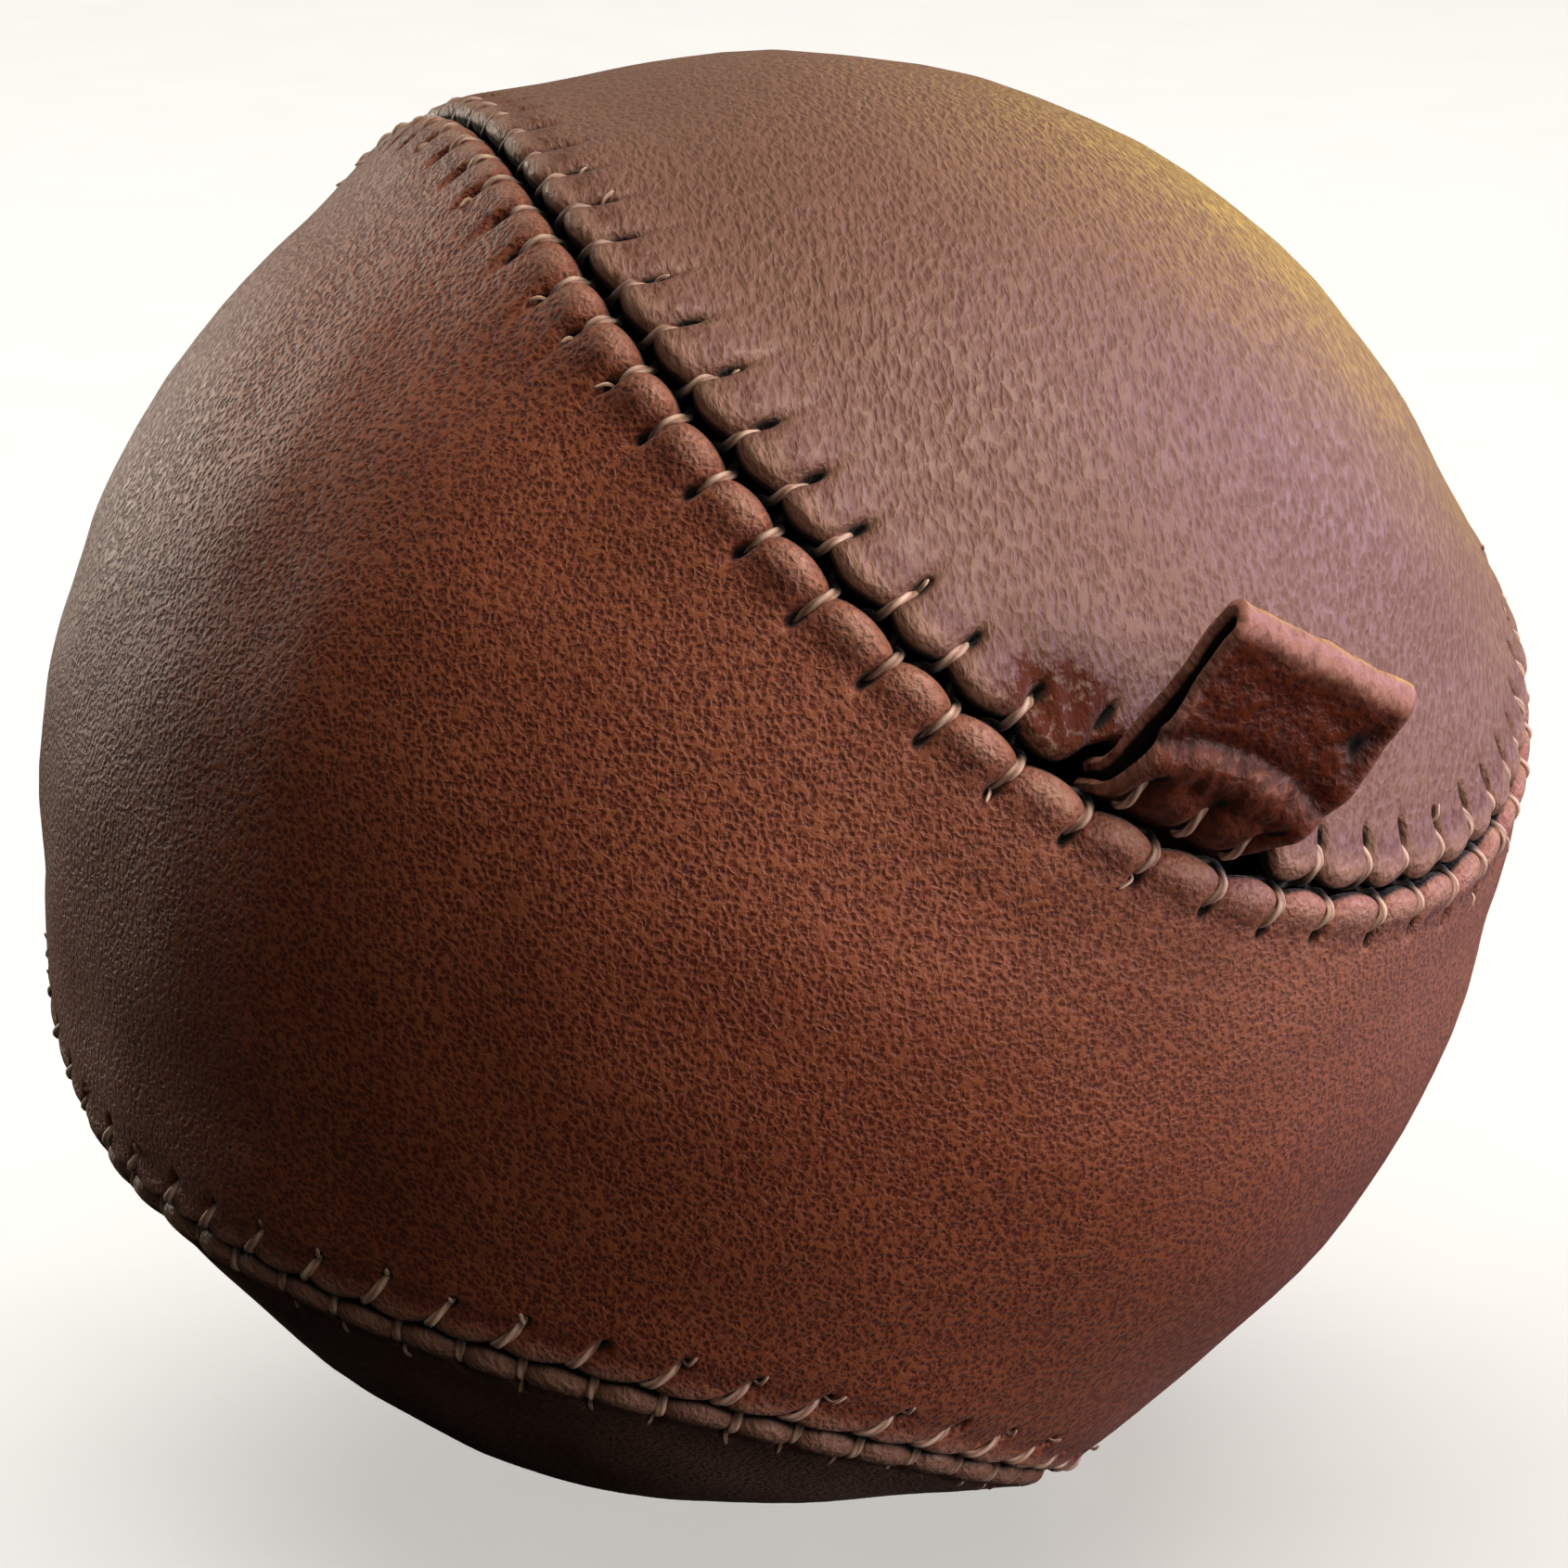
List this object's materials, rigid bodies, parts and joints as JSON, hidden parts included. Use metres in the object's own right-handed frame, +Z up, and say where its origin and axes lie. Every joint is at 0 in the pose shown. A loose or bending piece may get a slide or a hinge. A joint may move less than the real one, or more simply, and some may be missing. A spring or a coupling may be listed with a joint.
{
  "type": "medicine ball",
  "caption": "Small 1 kg leather medicine ball, two hand-laced panels like a baseball's, with a folded leather hanging loop.",
  "frame": {"origin": "middle of the small flat that the ball rests on", "axes": "+Z up from the resting flat; the hanging loop is on the front right, towards -Y and +X"},
  "size_m": [0.151, 0.1578, 0.1452],
  "materials": {
    "leather_panel": "satin",
    "leather_loop": "matte",
    "canvas": "matte",
    "waxed_thread": "satin",
    "cotton_waste": "matte",
    "sand": "matte"
  },
  "bodies": {
    "ball": {"cover_panel_a": "leather_panel", "cover_panel_b": "leather_panel", "lining_panel_a": "canvas", "lining_panel_b": "canvas", "seam_thread_1": "waxed_thread", "seam_thread_2": "waxed_thread", "seam_thread_3": "waxed_thread", "seam_thread_4": "waxed_thread", "loop_tail_front": "leather_loop", "loop_tail_back": "leather_loop", "stuffing_wad_right": "cotton_waste", "stuffing_wad_left": "cotton_waste", "stuffing_wad_back": "cotton_waste", "stuffing_wad_front": "cotton_waste", "stuffing_wad_top": "cotton_waste", "stuffing_wad_bottom": "cotton_waste", "core_bag_upper": "canvas", "core_bag_lower": "canvas", "core_bag_stitching": "waxed_thread", "sand_fill": "sand"},
    "loop": {"hanging_loop": "leather_loop"}
  },
  "joints": [
    {"name": "loop_bend", "type": "hinge", "parent": "ball", "child": "loop", "pos_m": [0.03861, -0.06887, 0.08627], "axis": [-0.8025, -0.3474, 0.485], "range_deg": [-75, 10], "stiffness_Nm_per_rad": 0.03}
  ]
}
